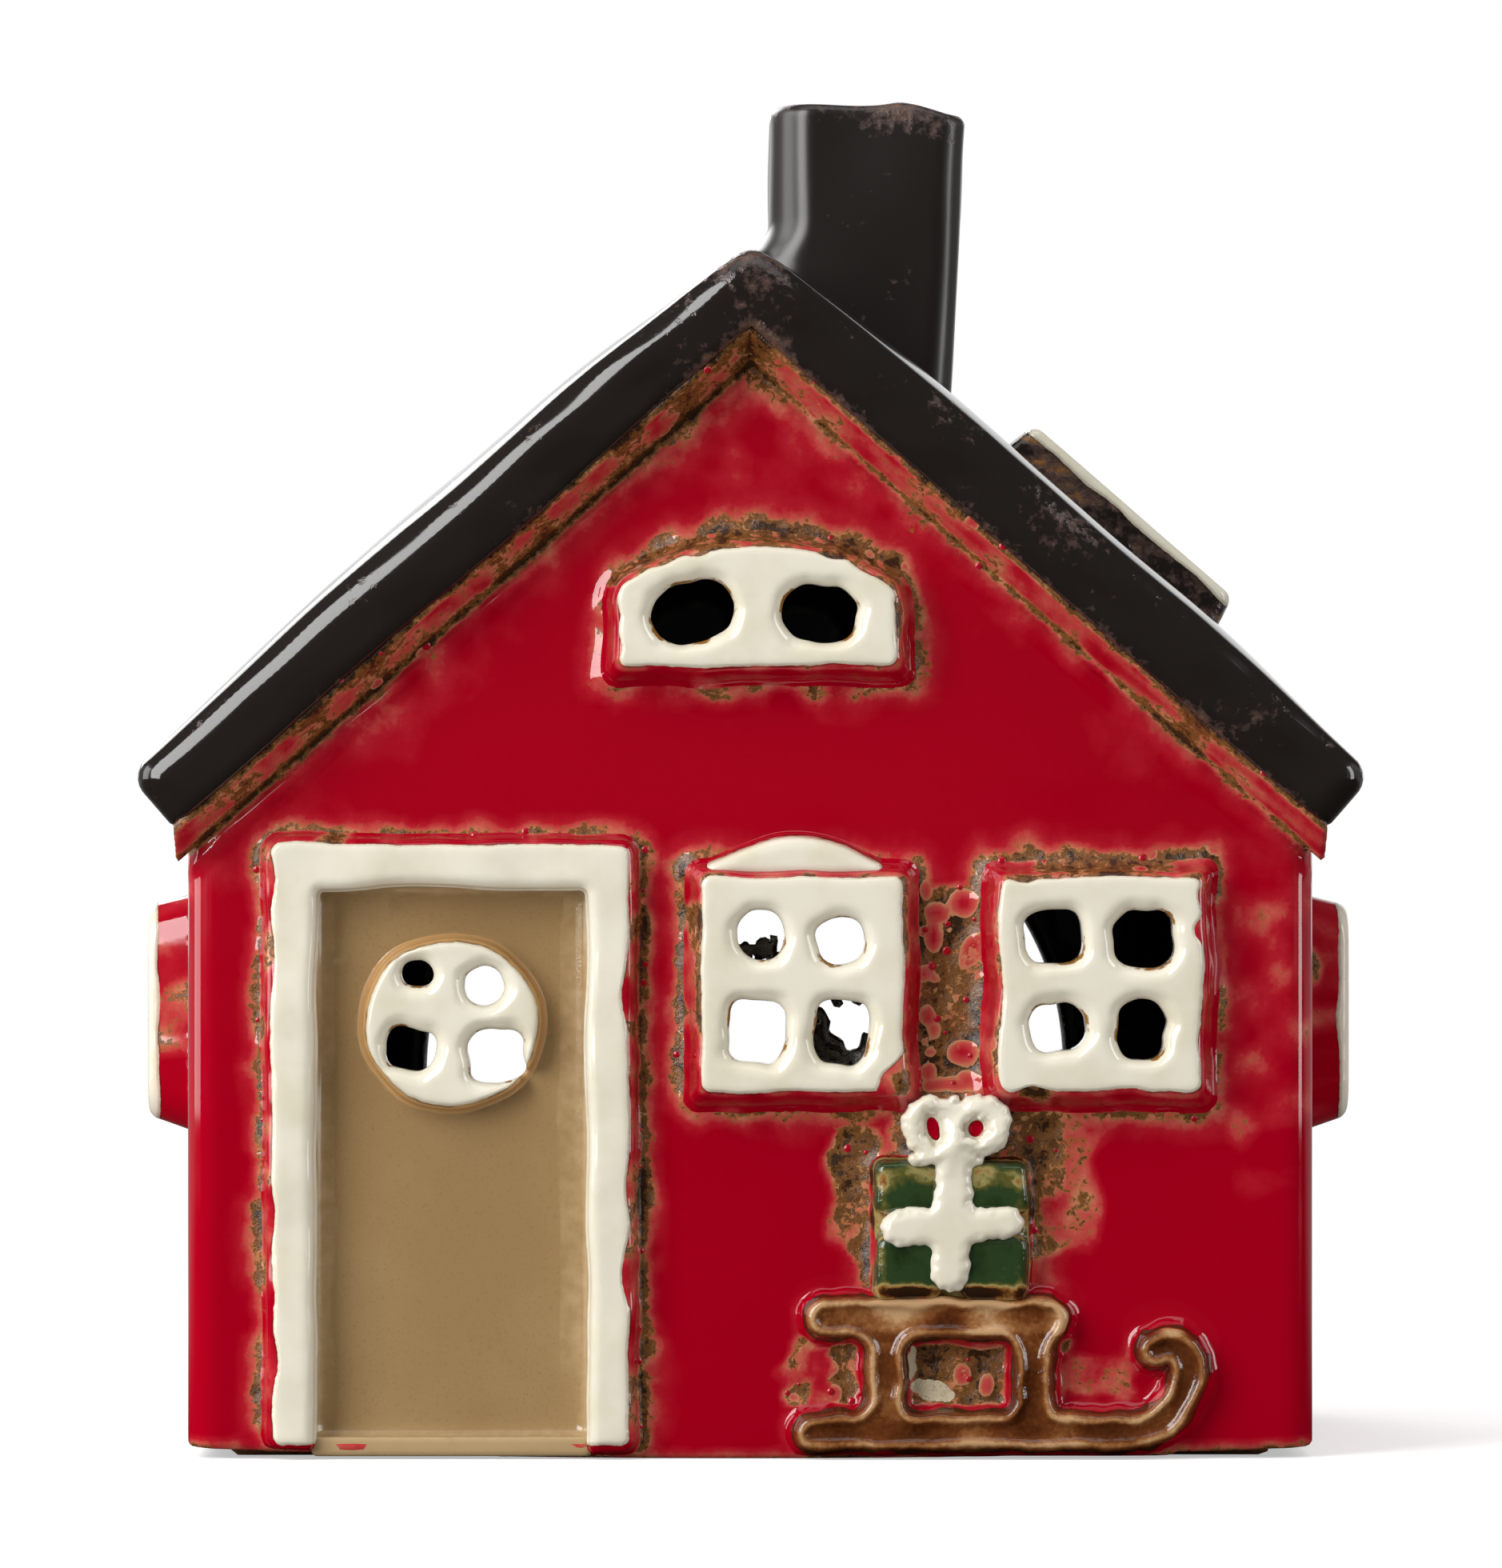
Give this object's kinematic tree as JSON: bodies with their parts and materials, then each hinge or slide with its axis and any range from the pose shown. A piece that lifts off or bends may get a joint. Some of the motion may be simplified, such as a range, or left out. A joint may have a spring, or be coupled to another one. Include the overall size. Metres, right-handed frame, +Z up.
{
  "type": "tealight house",
  "caption": "Glazed ceramic cottage with pierced windows, a pitched roof and an open chimney, for a tealight that goes in through an arch in its back wall.",
  "frame": {"origin": "centre of the bounding box, at the height of the foot that it stands on", "axes": "+Z up, -Y out of the front wall with the door, +X to the chimney's side"},
  "size_m": [0.1374, 0.094, 0.154],
  "materials": {
    "red_glaze": "gloss, breaking to tan and brown crust at edges",
    "black_glaze": "gloss with brown mottles",
    "cream_glaze": "gloss",
    "tan_glaze": "gloss, finely speckled",
    "brown_glaze": "gloss, pale tan where it breaks over edges",
    "green_glaze": "gloss, breaking to olive at edges",
    "bare_clay": "matt, unglazed",
    "tealight_foil": "bright pressed foil",
    "wax": "white paraffin wax, satin",
    "cotton": "braided, waxed"
  },
  "bodies": {
    "house": {"floor_slab": "bare_clay", "front_wall": "red_glaze", "back_wall": "red_glaze", "left_wall": "red_glaze", "right_wall": "red_glaze", "roof_left": "black_glaze", "roof_right": "black_glaze", "chimney": "black_glaze", "attic_window": "cream_glaze", "middle_window": "cream_glaze", "window_hood": "cream_glaze", "right_window": "cream_glaze", "door_frame": "cream_glaze", "door_panel": "tan_glaze", "round_window": "cream_glaze", "left_side_window": "cream_glaze", "right_side_window": "cream_glaze", "roof_window": "cream_glaze", "sled": "brown_glaze", "gift_box": "green_glaze", "gift_ribbon": "cream_glaze"},
    "tealight": {"tealight_cup": "tealight_foil", "candle_wax": "wax", "wick_base": "tealight_foil", "wick": "cotton"}
  },
  "joints": [
    {"name": "tealight_slide", "type": "slide", "parent": "house", "child": "tealight", "axis": [0, 1, 0], "range_m": [0, 0.072]}
  ]
}
